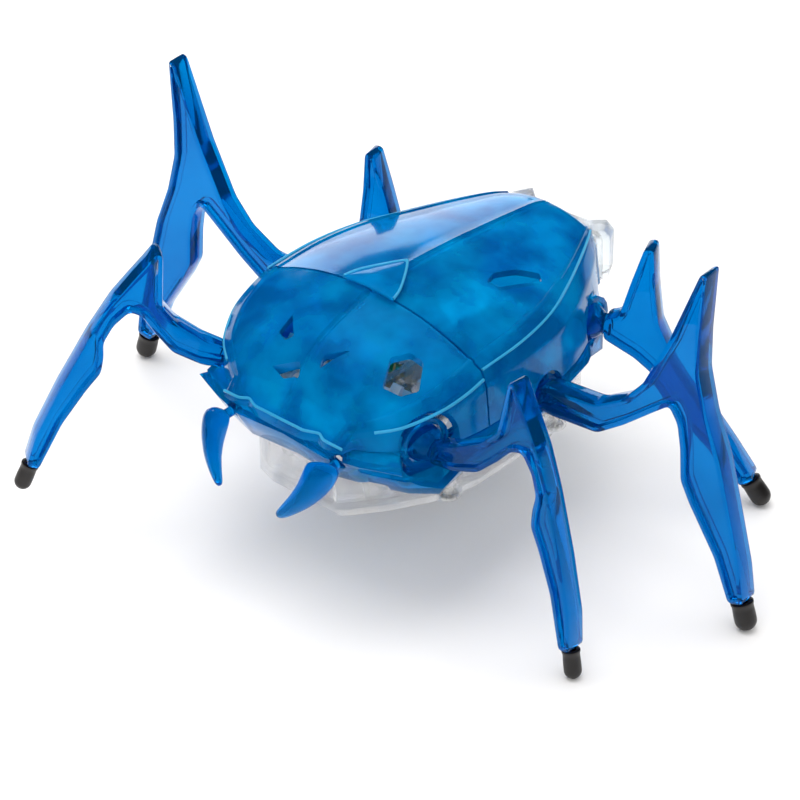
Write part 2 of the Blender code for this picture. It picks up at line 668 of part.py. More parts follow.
def make_tail():
    """The clear tail behind the wing covers, with a point on each side."""
    near, mid, tip = TAIL_Y
    outline = [(0, near), (9.0, near), (9.2, mid), (7.6, tip), (5.4, mid + 0.9), (0, mid + 0.5)]
    closed = whole(outline)
    rings = [[(x, y, z) for x, y in closed] for z in (RIM_Z, 31.5)]
    rings.append([(x * 0.9, near + (y - near) * 0.85, 33.0) for x, y in closed])
    tail = finish(loft(rings), "tail_shell", CLEAR, 0.05, alpha=0.4)
    hollow = [(0, near - 2), (7.6, near - 2), (7.8, mid - 0.4), (0, mid - 0.5)]
    cut(tail, prism(whole(hollow), RIM_Z - 1, 31.8))


def make_frame():
    """The blue middle frame: a hollow band with a ledge inside, and a lug round each leg's ball."""
    wide, top = whole(FRAME_WIDE), whole(FRAME_TOP)
    low_z, mid_z, high_z = FRAME_Z
    rings = [[(x, y, z) for x, y in outline] for outline, z in
             ((shrink(wide, FRAME_TUCK), low_z), (wide, mid_z), (top, high_z))]
    frame = finish(loft(rings), "middle_frame", BLUE, 0.1, alpha=0.75)
    inner = [[(x, y, z) for x, y in shrink(outline, FRAME_WALL)] for outline, z in
             ((shrink(wide, FRAME_TUCK * 0.7), low_z + 1.2), (wide, mid_z))]
    inner.append([(x, y, high_z + 0.01) for x, y in shrink(top, FRAME_WALL)])
    cut(frame, loft(inner))
    cut(frame, prism(whole(FRAME_WINDOW), low_z - 1, low_z + 2))
    for leg in (FRONT, MIDDLE, REAR):
        for _, side in SIDES:
            cut(frame, ball_room(leg, side))
            cut(frame, port(leg, side))
            join(frame, lug_disc(leg, side))
            join(frame, lug_post(leg, side))
    for leg in (FRONT, MIDDLE, REAR):
        for _, side in SIDES:
            centre = ball_centre(leg, side)
            through = direction(side, leg["toe_in"] / 2, 0) * 1.2
            cut(frame, rod(centre - through, centre + through, BALL_R + GAP, sides=16))
    for _, side in SIDES:
        cut(frame, rod((side * JAW_PEG[0], -33.0, JAW_PEG[1]), (side * JAW_PEG[0], -26.0, JAW_PEG[1]),
                       0.8 + GAP, sides=12))
    for x, y in SCREW_PLACES:
        for _, side in SIDES:
            cut(frame, rod((side * x, y, low_z - 1), (side * x, y, low_z + 2), SCREW_R + GAP, sides=12))


def lug_post(leg, side):
    """The post under a ball's round plate, turned half way towards the leg's arm."""
    centre = ball_centre(leg, side)
    half = LUG_THICK / 2 - 0.05
    bm = box((-half, -2.8, FRAME_Z[0] + 0.6 - centre.z), (half, 2.8, -BALL_R))
    turn = Matrix.Rotation(math.radians(-side * leg["toe_in"] / 2), 4, "Z")
    bm.transform(Matrix.Translation(centre) @ turn)
    return bm


def make_tray():
    """The clear belly tray, with its screw posts, the battery opening and the switch slot."""
    low, high = TRAY_Z
    outline = whole(TRAY_OUTLINE)
    bottom = [(x * TRAY_TAPER, y * TRAY_TAPER) for x, y in outline]
    rings = [[(x, y, low) for x, y in bottom], [(x, y, low + 3.0) for x, y in outline],
             [(x, y, high) for x, y in outline]]
    tray = finish(loft(rings), "belly_tray", CLEAR, 0.05, alpha=0.4)
    hollow = [[(x, y, z) for x, y in shrink(ring, TRAY_WALL)] for ring, z in
              ((bottom, low + TRAY_FLOOR), (outline, low + 3.0), (outline, high + 1))]
    cut(tray, loft(hollow))
    for x, y in SCREW_PLACES:
        for _, side in SIDES:
            join(tray, rod((side * x, y, low + 0.5), (side * x, y, high), 1.9, sides=12))
            cut(tray, rod((side * x, y, low - 1), (side * x, y, high + 1), SCREW_R + GAP, sides=12))
            cut(tray, rod((side * x, y, low - 1), (side * x, y, low + 1.4), SCREW_HEAD_R + GAP, sides=16))
    (left, near), (right, far) = DOOR
    bridge_low = low + TRAY_FLOOR + GAP
    cut_low = low + 0.6
    join(tray, box((left - 1.3, DOOR_SCREW_Y - 1.3, bridge_low),
                   (right + 1.3, DOOR_SCREW_Y + 1.3, low + 3.0)))
    for x in (left - 1.3, right + 0.5):
        join(tray, box((x, DOOR_SCREW_Y - 1.2, cut_low), (x + 0.8, DOOR_SCREW_Y + 1.2, low + 2.4)))
    cut(tray, rod((0, DOOR_SCREW_Y, low), (0, DOOR_SCREW_Y, low + 4), SCREW_R + GAP, sides=12))
    cut(tray, box((left - GAP, near - GAP, low - 1), (right + GAP, far + GAP, bridge_low)))
    cut(tray, box((-1.2 - SWITCH_TRAVEL - GAP, SWITCH_Y - 1.3, low - 1),
                  (1.2 + SWITCH_TRAVEL + GAP, SWITCH_Y + 1.3, low + 2)))


def make_belly():
    """Battery door, cells, contacts, circuit board, switch and screws."""
    low = TRAY_Z[0]
    (left, near), (right, far) = DOOR
    door = finish(box((left, near, low), (right, far, low + TRAY_FLOOR)), "battery_door", CLEAR, 0.1,
                  alpha=0.5)
    cut(door, rod((0, DOOR_SCREW_Y, low - 1), (0, DOOR_SCREW_Y, low + 2), SCREW_R + GAP, sides=12))
    cut(door, rod((0, DOOR_SCREW_Y, low - 1), (0, DOOR_SCREW_Y, low + 0.8), DOOR_HEAD_R + GAP))
    make_screw("door_screw", (0, DOOR_SCREW_Y), low + 0.1, low + 3.4, DOOR_HEAD_R)
    for number, y in enumerate(CELL_Y, start=1):
        cell = lathe([(0, CELL_Z[0]), (5.2, CELL_Z[0]), (5.2, CELL_Z[0] + 0.5), (CELL_R, CELL_Z[0] + 0.8),
                      (CELL_R, CELL_Z[1] - 0.3), (CELL_R - 0.3, CELL_Z[1]), (0, CELL_Z[1])], 20)
        bmesh.ops.translate(cell, vec=(0, y, 0), verts=cell.verts)
        finish(cell, f"button_cell_{number}", STEEL, 0.2, 1.0, smooth=True)
    front_y = CELL_Y[0] - CELL_R - GAP
    contact = finish(box((-2, front_y - 0.4, 12.6), (2, front_y, 20.0)), "battery_contact_front", BRASS,
                     0.3, 1.0)
    join(contact, box((-2, front_y - 0.4, 19.6), (2, front_y + 2.4, 20.0)))
    contact = finish(box((-2, 10.3, 14.0), (2, 10.7, 18.6)), "battery_contact_rear", BRASS, 0.3, 1.0)
    join(contact, box((-2, 8.0, 18.2), (2, 10.7, 18.6)))
    finish(box((-6, 11.2, 17.4), (6, 20.0, 18.2)), "circuit_board", GREEN, 0.5)
    finish(box((-3.4, SWITCH_Y - 1.8, 13.6), (3.4, SWITCH_Y + 1.8, 17.1)), "switch_housing", STEEL, 0.3, 1.0)
    knob = finish(box((-1.2, SWITCH_Y - 1.0, low - 0.6), (1.2, SWITCH_Y + 1.0, low + 2.3)), "switch_knob",
                  BLACK, 0.5, origin=(0, SWITCH_Y, low))
    bevel = knob.modifiers.new("edge", "BEVEL")
    bevel.width = 0.2
    bevel.segments = 1
    for x, y in SCREW_PLACES:
        for name, side in SIDES:
            where = "front" if y < 0 else "rear"
            make_screw(f"body_screw_{where}_{name}", (side * x, y), low + 0.3, FRAME_Z[0] + 0.9, SCREW_HEAD_R)


def make_screw(name, place, low, top, head_r):
    """A cross-head screw, driven upwards from below."""
    x, y = place
    screw = finish(rod((x, y, low), (x, y, low + 0.4), head_r, sides=12), name, STEEL, 0.3, 1.0)
    join(screw, rod((x, y, low + 0.3), (x, y, top), SCREW_R, sides=8))
    for long_x, long_y in ((0.8, 0.16), (0.16, 0.8)):
        cut(screw, box((x - long_x, y - long_y, low - 1), (x + long_x, y + long_y, low + 0.25)))


def make_jaws():
    """Two curved jaws that hang from the front of the frame, and the round head of the nose peg."""
    for name, side in SIDES:
        path = [(9.6, -32.4, 24.0, 2.0), (9.3, -33.8, 22.8, 1.9), (8.6, -35.2, 21.0, 1.6),
                (7.3, -36.4, 19.1, 1.2), (5.7, -37.2, 17.4, 0.6)]
        centres = [Vector((side * x, y, z)) for x, y, z, _ in path]
        rings = []
        for i, centre in enumerate(centres):
            along = (centres[min(i + 1, len(path) - 1)] - centres[max(i - 1, 0)]).normalized()
            across = along.cross(Vector((1, 0, 0))).normalized()
            wide = along.cross(across)
            size = path[i][3]
            ring = []
            for k in range(10):
                angle = math.tau * k / 10
                ring.append(centre + across * size * math.cos(angle) + wide * size * 0.72 * math.sin(angle))
            rings.append(ring)
        jaw = finish(loft(rings), f"jaw_{name}", BLUE, 0.12, alpha=0.8, smooth=True)
        join(jaw, rod((side * JAW_PEG[0], -33.1, JAW_PEG[1]), (side * JAW_PEG[0], -30.0, JAW_PEG[1]), 0.8,
                      sides=10))
    peg = lathe([(0, 24.4), (1.1, 24.4), (1.1, 26.6), (1.9, 26.8), (1.8, 27.8), (1.2, 28.6), (0, 28.9)], 14)
    bmesh.ops.translate(peg, vec=(-2.8, -25.4, 0), verts=peg.verts)
    finish(peg, "nose_peg", BLUE, 0.1, alpha=0.8, smooth=True)


def make_legs():
    """The six legs and their boots."""
    kinds = (("front", FRONT, FRONT_OUTLINE, FRONT_UNDERSIDE, FRONT_FOOT),
             ("middle", MIDDLE, MIDDLE_OUTLINE, MIDDLE_UNDERSIDE, MIDDLE_FOOT),
             ("rear", REAR, REAR_OUTLINE, REAR_UNDERSIDE, REAR_FOOT))
    for where, leg, top, under, reach in kinds:
        for name, side in SIDES:
            make_leg(f"leg_{where}_{name}", leg, side, top, under, reach)
            make_boot(f"boot_{where}_{name}", leg, side, top, under, reach)


def main():
    clear_scene()
    robot = bpy.data.objects.new("robot", None)
    robot.location = (0, BODY_Y * MM, 0)
    robot.scale = (MM, MM, MM)
    bpy.context.scene.collection.objects.link(robot)
    make_shells()
    make_frame()
    make_tray()
    make_belly()
    make_jaws()
    make_gear_plates()
    make_drive()
    for name, side in SIDES:
        crank_train(name, side)
    make_legs()


main()
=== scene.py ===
"""The looks of the six-legged walking robot: tinted shells, blade legs, boots, gears, floor and light.

The fine meshes are modelled in millimetres in the robot's own frame: X is its left, -Y is forward, z = 0 is
the ground, and y = 0 is the cross axle. place() brings a finished mesh to metres and to the CAD's frame.
"""

import math

import bmesh
import bpy
from mathutils import Matrix, Vector
from mathutils.geometry import tessellate_polygon


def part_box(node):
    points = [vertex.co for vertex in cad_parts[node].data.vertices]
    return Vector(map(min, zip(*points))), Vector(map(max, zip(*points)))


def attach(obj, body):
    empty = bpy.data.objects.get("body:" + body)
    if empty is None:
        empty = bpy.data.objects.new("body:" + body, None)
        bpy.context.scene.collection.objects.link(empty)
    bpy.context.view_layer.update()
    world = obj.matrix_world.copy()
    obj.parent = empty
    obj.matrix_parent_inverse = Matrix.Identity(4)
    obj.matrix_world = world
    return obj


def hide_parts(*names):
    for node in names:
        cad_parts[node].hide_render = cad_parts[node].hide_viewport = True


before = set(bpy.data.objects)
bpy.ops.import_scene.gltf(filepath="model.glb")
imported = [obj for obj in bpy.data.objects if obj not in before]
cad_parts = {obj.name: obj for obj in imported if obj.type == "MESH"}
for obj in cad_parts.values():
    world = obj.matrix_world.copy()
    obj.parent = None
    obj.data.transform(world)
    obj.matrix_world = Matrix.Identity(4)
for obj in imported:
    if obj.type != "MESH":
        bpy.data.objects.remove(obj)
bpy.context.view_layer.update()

MM = 0.001
AXLE_LOW, AXLE_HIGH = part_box("cross_axle")
BODY_Y = (AXLE_LOW.y + AXLE_HIGH.y) / 2 / MM
SIDES = (("left", 1), ("right", -1))

# Legs: ball joint, how far the leg points forward of sideways, and each side's swing and lift at rest
FRONT = {"ball": (16.2, -20.6, 25.0), "toe_in": 26.5, 1: (-27.0, -7.0), -1: (27.0, 7.0)}
MIDDLE = {"ball": (17.0, 0.0, 24.0), "toe_in": 1.0, 1: (-4.0, 0.0), -1: (4.0, 0.0)}
REAR = {"ball": (14.8, 16.0, 26.0), "toe_in": -5.0, 1: (-19.0, -2.0), -1: (19.0, -2.0)}
BALL_R = 2.7
DISC_OUTER_X = 11.4
SOCKET_R = 1.5
BOOT_R = 1.55
BOOT_LENGTH = 4.4
BOOT_R_AT = {"front": 1.22, "middle": 1.55, "rear": 1.5}
# Where a leg's arm starts at its ball, and the bore in its socket for the crank pin
ARM_ROOT_R = 1.5
ARM_ROOT_LENGTH = 3.6
BORE_R = 1.05
BORE_START = 1.2
BORE_PAST = 1.0
SOCKET_PLAY = 0.3
# The shin ends inside its boot, a little narrower than it
SHIN_PLAY = 0.2
SHIN_TUCK = 0.28
# A leg's blade: half thickness, rounded edge, rim, slope down to the web, and the web's depth
LEG_HALF = 1.6
LEG_BEVEL = 0.28
LEG_RIM = 0.75
LEG_SLOPE = 0.25
LEG_RECESS = 0.55
LEG_CORNER = 0.7

# Leg outlines seen square on: distance out from the ball, and height above it
FRONT_OUTLINE = [
    (2.6, 1.5), (6.0, 3.2), (10.2, 6.2), (12.5, 9.0), (12.8, 13.2), (13.1, 17.5), (14.1, 17.8),
    (15.4, 15.8), (17.1, 13.4), (19.4, 10.0), (22.2, 4.4), (25.8, -4.2), (28.6, -12.0),
]
FRONT_UNDERSIDE = [
    (25.0, -10.0), (22.0, -4.4), (20.2, -1.6), (20.0, 0.8), (20.2, 3.4), (19.0, 6.2), (17.0, 8.4),
    (15.2, 7.6), (13.4, 5.0), (10.6, 1.6), (6.4, -0.6), (2.6, -1.4),
]
MIDDLE_OUTLINE = [
    (2.6, 1.8), (5.0, 2.4), (12.4, 2.8), (17.0, 5.6), (20.0, 9.2), (23.8, 17.4), (28.2, 29.2),
    (29.2, 29.5), (28.8, 20.0), (28.9, 14.2), (30.4, 8.2), (32.8, 2.0), (35.4, -8.0), (36.9, -14.0),
]
MIDDLE_UNDERSIDE = [
    (32.6, -13.4), (28.2, -6.4), (26.7, -3.4), (26.4, 1.6), (25.8, 5.2), (24.4, 7.4), (22.4, 5.8),
    (17.2, 1.4), (13.0, -1.6), (5.0, -2.0), (2.6, -1.5),
]
REAR_OUTLINE = [
    (2.6, 1.6), (4.6, 2.4), (6.0, 8.4), (7.5, 14.1), (8.9, 14.2), (9.5, 8.0), (10.4, 2.4), (13.2, -3.2),
    (18.6, -10.6), (22.4, -15.6),
]
REAR_UNDERSIDE = [
    (19.4, -16.0), (15.2, -12.2), (13.0, -10.4), (12.0, -8.4), (9.6, -5.6), (7.2, -3.8), (2.6, -1.6),
]
FRONT_FOOT = 29.6
MIDDLE_FOOT = 37.3
REAR_FOOT = 26.6

# Shells: y, half width, height at the side edge, height on the middle line, half width of the skirt
SHELL_THICK = 0.9
RIM_Z = 25.5
HEAD_STATIONS = [
    (-28.6, 10.6, 27.8, 29.8, 11.2), (-27.0, 13.2, 28.8, 32.2, 13.8), (-24.5, 16.2, 29.8, 34.4, 16.6),
    (-20.0, 18.6, 31.4, 36.4, 19.4), (-16.0, 19.4, 32.6, 37.6, 20.6), (-12.65, 19.5, 33.6, 38.3, 21.0),
]
WING_STATIONS = [
    (-12.35, 19.5, 33.7, 38.4, 21.0), (-4.0, 19.3, 34.0, 38.6, 21.2), (4.0, 17.8, 34.1, 38.2, 20.6),
    (11.0, 15.0, 34.1, 37.6, 18.4), (17.0, 12.2, 34.2, 37.0, 15.2), (22.0, 9.6, 34.2, 36.4, 11.9),
    (24.6, 8.0, 33.9, 35.6, 9.6),
]

# Rows that close the head's front: how far forward of its first station, share of the way down to the rim,
# and share of the width. The brim's middle is fuller than its sides, and it has two shallow notches.
HEAD_FRONT = [(2.9, 1.0, 0.95), (2.8, 0.72, 0.955), (2.5, 0.62, 0.96), (0.4, 0.06, 0.99)]
BRIM_FULLNESS = 0.28
NOTCH_X = 6.5
NOTCH_HALF = 1.6
NOTCH_DEPTH = 0.9
NOTCHED_BELOW = 0.3
# Rows that close the wing covers' back: share of the width, how far back, and share of the way down
WING_BACK = [(0.99, 0.5, 0.08), (0.98, 0.8, 0.3), (0.97, 0.9, 1.0)]

# Across a half shell: share of its half width, and how far the surface is raised there
DOME_POWER = 2.2
ACROSS = [
    (0.0, -0.28), (0.012, -0.2), (0.03, 0.1), (0.06, 0.0), (0.14, 0.0), (0.24, 0.0), (0.34, 0.0),
    (0.44, 0.0), (0.54, 0.0), (0.64, 0.0), (0.74, 0.0), (0.83, 0.0), (0.885, 0.0), (0.90, 0.24),
    (0.925, 0.28), (0.94, 0.0), (1.0, 0.0),
]
# Below the edge: share of the way out to the skirt, and share of the way down to the rim
BAND_AND_SKIRT = [
    (0.18, 0.06), (0.52, 0.24), (0.60, 0.27), (0.64, 0.34), (0.80, 0.62), (0.92, 0.85), (1.0, 1.0),
]

# Angular windows through the shells, seen from above
WINDOW_CORNER = 0.35
HEAD_WINDOW_Z = (29.0, 40.0)
HEAD_WINDOWS = [
    [(-4.6, -27.4), (-2.9, -26.9), (-0.5, -26.0), (0.2, -27.4), (-2.0, -28.0)],
    [(2.6, -26.0), (2.1, -24.2), (4.9, -22.1)],
    [(-6.7, -23.8), (-6.8, -20.9), (-4.0, -23.7), (-4.7, -24.6)],
    [(11.6, -23.4), (9.9, -19.8), (11.5, -17.6), (13.6, -17.4), (15.6, -20.6), (14.2, -22.6)],
]
WING_WINDOW_Z = (31.0, 40.0)
WING_WINDOWS = [
    [(9.4, 0.4), (8.7, 2.6), (9.8, 6.0), (11.9, 8.6), (13.2, 7.6), (12.2, 4.2), (11.2, 0.9)],
]

# Room that a shell leaves for a leg: a passage for its ball, a cone for its arm, and a round for its lug
PASSAGE_IN = 3.2
PASSAGE_OUT = 3.4
PASSAGE_PLAY = 0.6
PORT_START = 1.7
PORT_END = 10
PORT_START_R = 3.0
PORT_END_R = 3.2
PORT_PLAY_ANGLE = 2.0
FRONT_PORT_RISE = 17.0
PORT_RISE = 4.0
LUG_ROOM_R = 4.05

# Raised beads, whose paler blue is a painted highlight line: half thickness of the brim's, the head's side
# ones, and the rest
BRIM_BEAD = 0.22
SIDE_BEAD = 0.24
BEAD = 0.2
BRIM_HALF_WIDTH = 11.2
# Where they run: the brim's is forward, narrower and part of the way down; the head's side ones lie between
# the dome's edge and the skirt; the wing covers' stand just above their edge
BRIM_BEAD_FORWARD = 2.62
BRIM_BEAD_WIDTH = 0.96
BRIM_BEAD_DOWN = 0.66
SIDE_BEAD_OUT = 0.35
SIDE_BEAD_DOWN = 0.13
WING_BEAD_UP = 0.02
PLATE_BEAD = [
    (-4.5, -13.1, 39.0), (-3.6, -10.6, 39.25), (-0.5, -5.8, 39.55), (0.5, -5.8, 39.55), (3.6, -10.6, 39.25),
    (4.5, -13.1, 39.0),
]

# The frame's slots, one in each front corner, and the steps cut into its lower edge: left ones
SLOT = ((13.2, -29.4, 22.9), (18.4, -26.6, 23.3))
SLOT_R = 0.85
FRAME_STEPS = [
    ((12.6, -32.0, 19.0), (15.2, -24.0, 20.5)), ((19.0, 4.0, 19.0), (24.0, 8.0, 20.6)),
    ((14.0, 19.0, 19.0), (20.0, 24.0, 20.8)),
]

# Jaws, left one: sideways, forward and upward place of each section, and its half width
JAW_PATH = [
    (9.6, -32.7, 24.8, 1.4), (9.7, -33.0, 24.2, 2.6), (9.5, -33.8, 22.8, 2.6), (9.0, -34.8, 21.2, 2.2),
    (8.0, -35.9, 19.6, 1.7), (6.6, -36.8, 18.0, 1.2), (5.6, -37.3, 17.0, 0.8), (5.3, -37.4, 16.7, 0.3),
]
JAW_FLATNESS = 0.7
JAW_SIDES = 16
JAW_PEG = ((9.6, -32.2, 23.4), (9.6, -30.4, 23.4))
JAW_PEG_R = 0.7

# Meshing: angles in degrees, and the distance under which corners are joined
SMOOTH_ANGLE = 40
FLAT_ANGLE = 1.5
CREASE_ANGLE = 32
WELD = 0.002
ROD_SIDES = 32
BOOT_SIDES = 40
STATION_STEPS = 6
BEAD_STEPS = 5


# ---- Materials ------------------------------------------------------------------------------------------

PLASTIC_IOR = 1.46
PLASTIC_GRAIN = 0.1
PLASTIC_GRAIN_SCALE = 260.0
SOLID_GRAIN = 0.15
SOLID_GRAIN_SCALE = 720.0
SOLID_MOTTLE_SCALE = 120.0
GRAIN_DEPTH = 0.0001
BLUE_GLOSS = (0.03, 0.45, 1.0, 1.0)
BLUE_DEPTH = (0.02, 0.60, 0.86, 1.0)


def new_material(name):
    """A material with its node tree, shader and output."""
    mat = bpy.data.materials.new(name)
    mat.use_nodes = True
    tree = mat.node_tree
    return mat, tree, tree.nodes["Principled BSDF"], tree.nodes["Material Output"]


def vary_colour(tree, shader, dark, light, scale):
    """Blends two close colours over the surface by a soft noise."""
    place_node = tree.nodes.new("ShaderNodeTexCoord")
    noise = tree.nodes.new("ShaderNodeTexNoise")
    noise.inputs["Scale"].default_value = scale
    noise.inputs["Detail"].default_value = 3.0
    ramp = tree.nodes.new("ShaderNodeValToRGB")
    ramp.color_ramp.elements[0].position = 0.35
    ramp.color_ramp.elements[0].color = (*dark, 1.0)
    ramp.color_ramp.elements[1].position = 0.65
    ramp.color_ramp.elements[1].color = (*light, 1.0)
    tree.links.new(place_node.outputs["Object"], noise.inputs["Vector"])
    tree.links.new(noise.outputs["Fac"], ramp.inputs["Fac"])
    tree.links.new(ramp.outputs["Color"], shader.inputs["Base Color"])
    return place_node


def vary_surface(tree, shader, place_node, scale, low, high, strength):
    """Varies the roughness and raises a fine moulded or worn grain."""
    noise = tree.nodes.new("ShaderNodeTexNoise")
    noise.inputs["Scale"].default_value = scale
    noise.inputs["Detail"].default_value = 4.0
    spread = tree.nodes.new("ShaderNodeMapRange")
    spread.inputs["To Min"].default_value = low
    spread.inputs["To Max"].default_value = high
    bump = tree.nodes.new("ShaderNodeBump")
    bump.inputs["Strength"].default_value = strength
    bump.inputs["Distance"].default_value = GRAIN_DEPTH
    tree.links.new(place_node.outputs["Object"], noise.inputs["Vector"])
    tree.links.new(noise.outputs["Fac"], spread.inputs["Value"])
    tree.links.new(spread.outputs["Result"], shader.inputs["Roughness"])
    tree.links.new(noise.outputs["Fac"], bump.inputs["Height"])
    tree.links.new(bump.outputs["Normal"], shader.inputs["Normal"])


def tinted_plastic(name, dark, light, low, high, density=0.0, clarity=1.0, gloss=0.12, solid=1.0,
                   blotch=90.0, blue=True):
    """See-through plastic, tinted at its surface; with a density, it also deepens with its thickness."""
    mat, tree, shader, output = new_material(name)
    shader.inputs["Transmission Weight"].default_value = clarity
    shader.inputs["Specular IOR Level"].default_value = gloss
    shader.inputs["Alpha"].default_value = solid
    shader.inputs["IOR"].default_value = PLASTIC_IOR
    if blue:
        shader.inputs["Specular Tint"].default_value = BLUE_GLOSS
    place_node = vary_colour(tree, shader, dark, light, blotch)
    vary_surface(tree, shader, place_node, PLASTIC_GRAIN_SCALE, low, high, PLASTIC_GRAIN)
    if density:
        volume = tree.nodes.new("ShaderNodeVolumeAbsorption")
        volume.inputs["Color"].default_value = BLUE_DEPTH
        volume.inputs["Density"].default_value = density
        tree.links.new(volume.outputs["Volume"], output.inputs["Volume"])
    return mat


def solid_material(name, dark, light, low, high, metallic=0.0):
    """An opaque material: moulded plastic, rubber, board or metal."""
    mat, tree, shader, _ = new_material(name)
    shader.inputs["Metallic"].default_value = metallic
    place_node = vary_colour(tree, shader, dark, light, SOLID_MOTTLE_SCALE)
    vary_surface(tree, shader, place_node, SOLID_GRAIN_SCALE, low, high, SOLID_GRAIN)
    return mat


LEG_BLUE = tinted_plastic("leg_blue", (0.0, 0.22, 0.60), (0.0, 0.28, 0.70), 0.02, 0.06, density=330.0,
                          clarity=0.9)
SHELL_BLUE = tinted_plastic("shell_blue", (0.0, 0.18, 0.52), (0.0, 0.40, 0.84), 0.07, 0.15, clarity=0.66,
                            gloss=0.3, blotch=140.0)
FRAME_BLUE = tinted_plastic("frame_blue", (0.0, 0.26, 0.66), (0.0, 0.34, 0.76), 0.04, 0.12, density=220.0,
                            clarity=0.78)
# Paler blue for the raised beads along the shells' edges and brim: painted highlight lines.
PAINTED_HIGHLIGHT_BLUE = tinted_plastic("painted_highlight_blue", (0.05, 0.52, 0.86), (0.10, 0.60, 0.92), 0.08, 0.16, clarity=0.5,
                           gloss=0.4)
CLEAR_TAIL = tinted_plastic("clear_tail", (0.80, 0.88, 0.93), (0.90, 0.94, 0.97), 0.05, 0.14, solid=0.8,
                            gloss=0.5, blue=False)
CLEAR = tinted_plastic("clear_plastic", (0.94, 0.94, 0.93), (0.98, 0.97, 0.96), 0.03, 0.10, solid=0.42,
                       gloss=0.5, blue=False)
RUBBER = solid_material("boot_rubber", (0.004, 0.003, 0.003), (0.010, 0.007, 0.006), 0.35, 0.5)
GEAR_WHITE = solid_material("white_plastic", (0.62, 0.66, 0.66), (0.80, 0.82, 0.80), 0.35, 0.5)
STEEL = solid_material("bright_steel", (0.48, 0.48, 0.46), (0.66, 0.66, 0.64), 0.18, 0.34, 1.0)
BRASS = solid_material("brass", (0.55, 0.42, 0.18), (0.75, 0.58, 0.25), 0.22, 0.4, 1.0)
BOARD = solid_material("board_green", (0.02, 0.11, 0.05), (0.04, 0.20, 0.09), 0.3, 0.5)
BLACK = solid_material("black_plastic", (0.015, 0.015, 0.016), (0.03, 0.03, 0.032), 0.35, 0.5)


# ---- Meshes ---------------------------------------------------------------------------------------------

def new_object(bm, name, material):
    """A millimetre mesh brought to metres and to the CAD's frame, as a named object in the scene."""
    bm.transform(Matrix.Scale(MM, 4) @ Matrix.Translation((0, BODY_Y, 0)))
    mesh = bpy.data.meshes.new(name)
    bm.to_mesh(mesh)
    bm.free()
    mesh.materials.append(material)
    obj = bpy.data.objects.new(name, mesh)
    bpy.context.scene.collection.objects.link(obj)
    return obj


def shade(mesh):
    """Smooth shading, with sharp edges kept."""
    mesh.shade_smooth()
    mesh.set_sharp_from_angle(angle=math.radians(SMOOTH_ANGLE))


def place(bm, name, material, body=None):
    """A closed millimetre mesh as a smoothly shaded object, which may ride on a body."""
    if bm.calc_volume(signed=True) < 0:
        bmesh.ops.reverse_faces(bm, faces=bm.faces)
    obj = new_object(bm, name, material)
    shade(obj.data)
    if body:
        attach(obj, body)
    return obj


def combine(obj, bm, operation):
    """Joins or cuts one more closed solid, and keeps the result as the object's mesh."""
    other = place(bm, f"{obj.name}_tool", obj.data.materials[0])
    modifier = obj.modifiers.new("solid", "BOOLEAN")
    modifier.operation = operation
    modifier.object = other
    modifier.solver = "EXACT"
    apply_modifiers(obj)
    bpy.data.objects.remove(other)


def apply_modifiers(obj):
    """Replaces the object's mesh by what its modifiers make of it."""
    bpy.context.view_layer.update()
    evaluated = obj.evaluated_get(bpy.context.evaluated_depsgraph_get())
    mesh = bpy.data.meshes.new_from_object(evaluated)
    obj.modifiers.clear()
    obj.data = mesh
    shade(mesh)


def box(low, high):
    """An upright box between two corners."""
    bm = bmesh.new()
    bmesh.ops.create_cube(bm, size=1.0)
    low, high = Vector(low), Vector(high)
    bmesh.ops.transform(bm, matrix=Matrix.Diagonal((*(high - low), 1.0)), verts=bm.verts)
    bmesh.ops.translate(bm, vec=(low + high) / 2, verts=bm.verts)
    return bm


def rod(start, end, radius, end_radius=None):
    """A cylinder or a cone between two points."""
    start, end = Vector(start), Vector(end)
    along = end - start
    bm = bmesh.new()
    bmesh.ops.create_cone(
        bm, cap_ends=True, segments=ROD_SIDES, radius1=radius,
        radius2=radius if end_radius is None else end_radius, depth=along.length,
    )
    turn = along.to_track_quat("Z", "Y").to_matrix().to_4x4()
    bm.transform(Matrix.Translation((start + end) / 2) @ turn)
    return bm


def ball(centre, radius):
    """A round ball."""
    bm = bmesh.new()
    bmesh.ops.create_uvsphere(bm, u_segments=36, v_segments=20, radius=radius)
    bmesh.ops.translate(bm, vec=centre, verts=bm.verts)
    return bm


def loft(rings):
    """A closed solid through rings that have the same number of points."""
    bm = bmesh.new()
    loops = [[bm.verts.new(point) for point in ring] for ring in rings]
    count = len(loops[0])
    for lower, upper in zip(loops, loops[1:]):
        for i in range(count):
            j = (i + 1) % count
            bm.faces.new((lower[i], lower[j], upper[j], upper[i]))
    bm.faces.new(list(reversed(loops[0])))
    bm.faces.new(loops[-1])
    bmesh.ops.triangulate(bm, faces=[face for face in bm.faces if len(face.verts) == 4])
    return bm


def rounded(points, steps):
    """Points on a smooth open curve through the given ones."""
    vectors = [Vector(point) for point in points]
    last = len(vectors) - 1
    result = []
    for i in range(last):
        near, far = vectors[i], vectors[i + 1]
        out_slope = (far - vectors[max(i - 1, 0)]) / 2
        in_slope = (vectors[min(i + 2, last)] - near) / 2
        for k in range(steps):
            t = k / steps
            a, b = 2 * t ** 3 - 3 * t ** 2 + 1, t ** 3 - 2 * t ** 2 + t
            c, d = -2 * t ** 3 + 3 * t ** 2, t ** 3 - t ** 2
            result.append(near * a + out_slope * b + far * c + in_slope * d)
    result.append(vectors[last])
    return result


